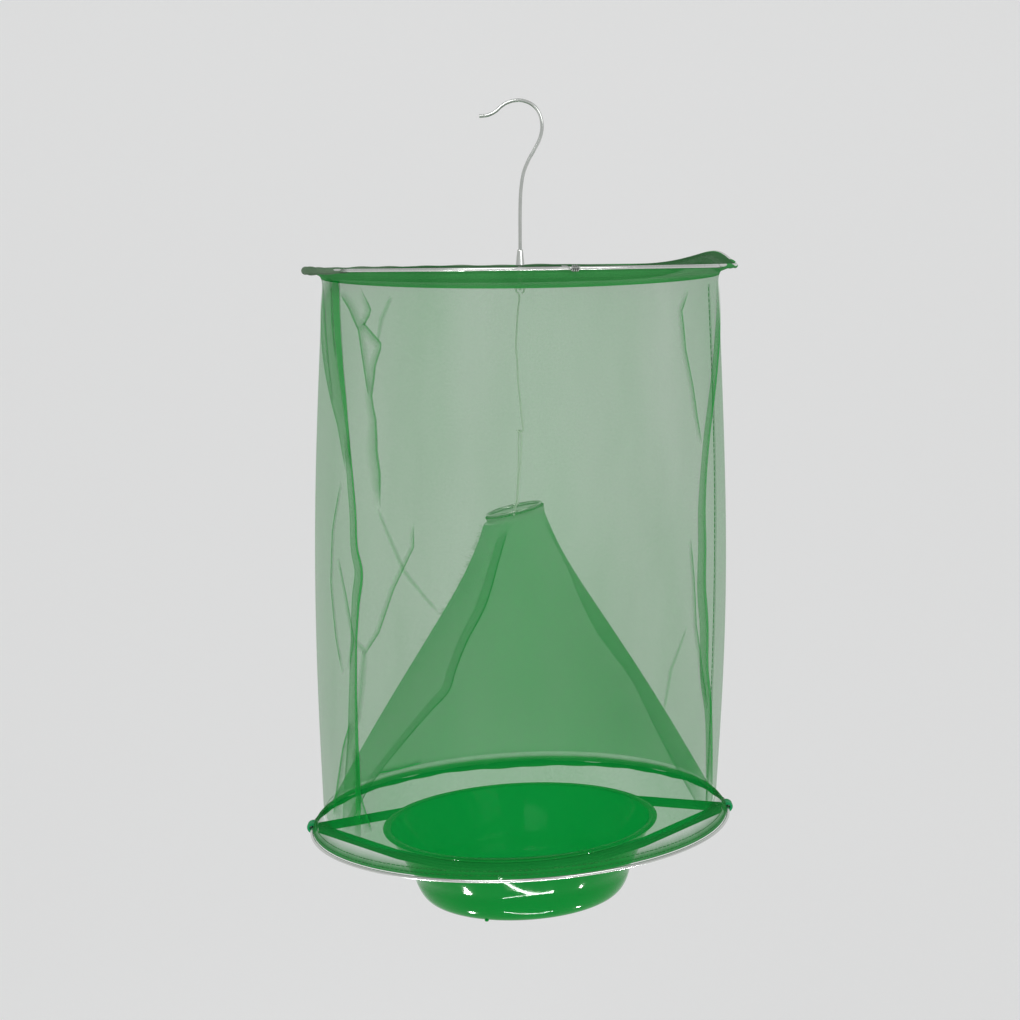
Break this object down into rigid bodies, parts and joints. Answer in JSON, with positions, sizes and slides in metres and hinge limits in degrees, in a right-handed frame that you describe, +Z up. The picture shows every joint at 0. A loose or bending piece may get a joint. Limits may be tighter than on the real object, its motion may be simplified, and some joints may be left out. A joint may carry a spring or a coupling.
{
  "type": "hanging net insect trap",
  "caption": "Collapsible net cage between wire hoops with an inner net cone, a bait bowl slung under its mouth and a wire hook to hang it from a branch.",
  "frame": {"origin": "hang point, the inside of the hook's crown where the branch or nail touches it", "axes": "+Z up along the trap's axis, -Y the front, +X to the right as seen from the front"},
  "size_m": [0.2358, 0.2318, 0.4361],
  "materials": {
    "bright_wire": "bright drawn wire",
    "binding_wire": "dull binding wire",
    "net": "sheer fine net",
    "cone_net": "fine net, closer woven",
    "hem": "folded and stitched net",
    "strap": "woven tape",
    "tape": "shiny binding tape",
    "bowl": "glossy moulded"
  },
  "bodies": {
    "hook": {"hanging_hook": "bright_wire", "hook_ferrule": "bright_wire"},
    "cage_top": {"top_hoop": "bright_wire", "top_hoop_tie": "binding_wire", "top_panel": "net", "top_patch": "hem", "top_hem": "hem", "cage_net": "net", "side_seam": "hem"},
    "inner_wire": {"hanging_wire": "bright_wire"},
    "cage_bottom": {"bottom_hoop": "bright_wire", "bottom_hoop_tie": "binding_wire", "bottom_hem": "hem", "strap_loop_left": "tape", "strap_loop_right": "tape", "cone_net": "cone_net", "cone_seam": "hem"},
    "cone_top": {"cone_ring": "bright_wire", "cone_ring_hem": "hem"},
    "bail": {"cone_bail": "bright_wire"},
    "sling": {"strap_front": "strap", "strap_back": "strap"},
    "bowl": {"bait_bowl": "bowl"}
  },
  "joints": [
    {"name": "hook_swivel", "type": "hinge", "parent": "hook", "child": "cage_top", "pos_m": [0, 0, -0.087], "axis": [0, 0, 1], "range_deg": [-35, 8]},
    {"name": "cage_fold", "type": "slide", "parent": "cage_top", "child": "cage_bottom", "axis": [0, 0, 1], "range_m": [0, 0.235], "deforming": ["cage_net", "side_seam"]},
    {"name": "cone_fold", "type": "slide", "parent": "cage_bottom", "child": "cone_top", "axis": [0, 0, 1], "range_m": [-0.152, 0], "deforming": ["cone_net", "cone_seam"]},
    {"name": "wire_fold", "type": "hinge", "parent": "hook", "child": "inner_wire", "pos_m": [0, 0, -0.0984], "axis": [0, -1, 0], "range_deg": [0, 86]},
    {"name": "bail_fold", "type": "hinge", "parent": "cone_top", "child": "bail", "pos_m": [-0.0033, 0, -0.2182], "axis": [0, 1, 0], "range_deg": [0, 57]},
    {"name": "bowl_rock", "type": "hinge", "parent": "cage_bottom", "child": "sling", "pos_m": [0, 0, -0.389], "axis": [0.9986, 0, 0.0523], "range_deg": [-10, 10]},
    {"name": "bowl_lift", "type": "slide", "parent": "sling", "child": "bowl", "axis": [-0.0523, 0, 0.9986], "range_m": [0, 0.025]}
  ],
  "couplings": [
    {"joint": "cone_fold", "follows": "cage_fold", "ratio": -0.6465},
    {"joint": "wire_fold", "follows": "cage_fold", "rad_per_m": 6.38},
    {"joint": "bail_fold", "follows": "cage_fold", "rad_per_m": 4.23}
  ]
}
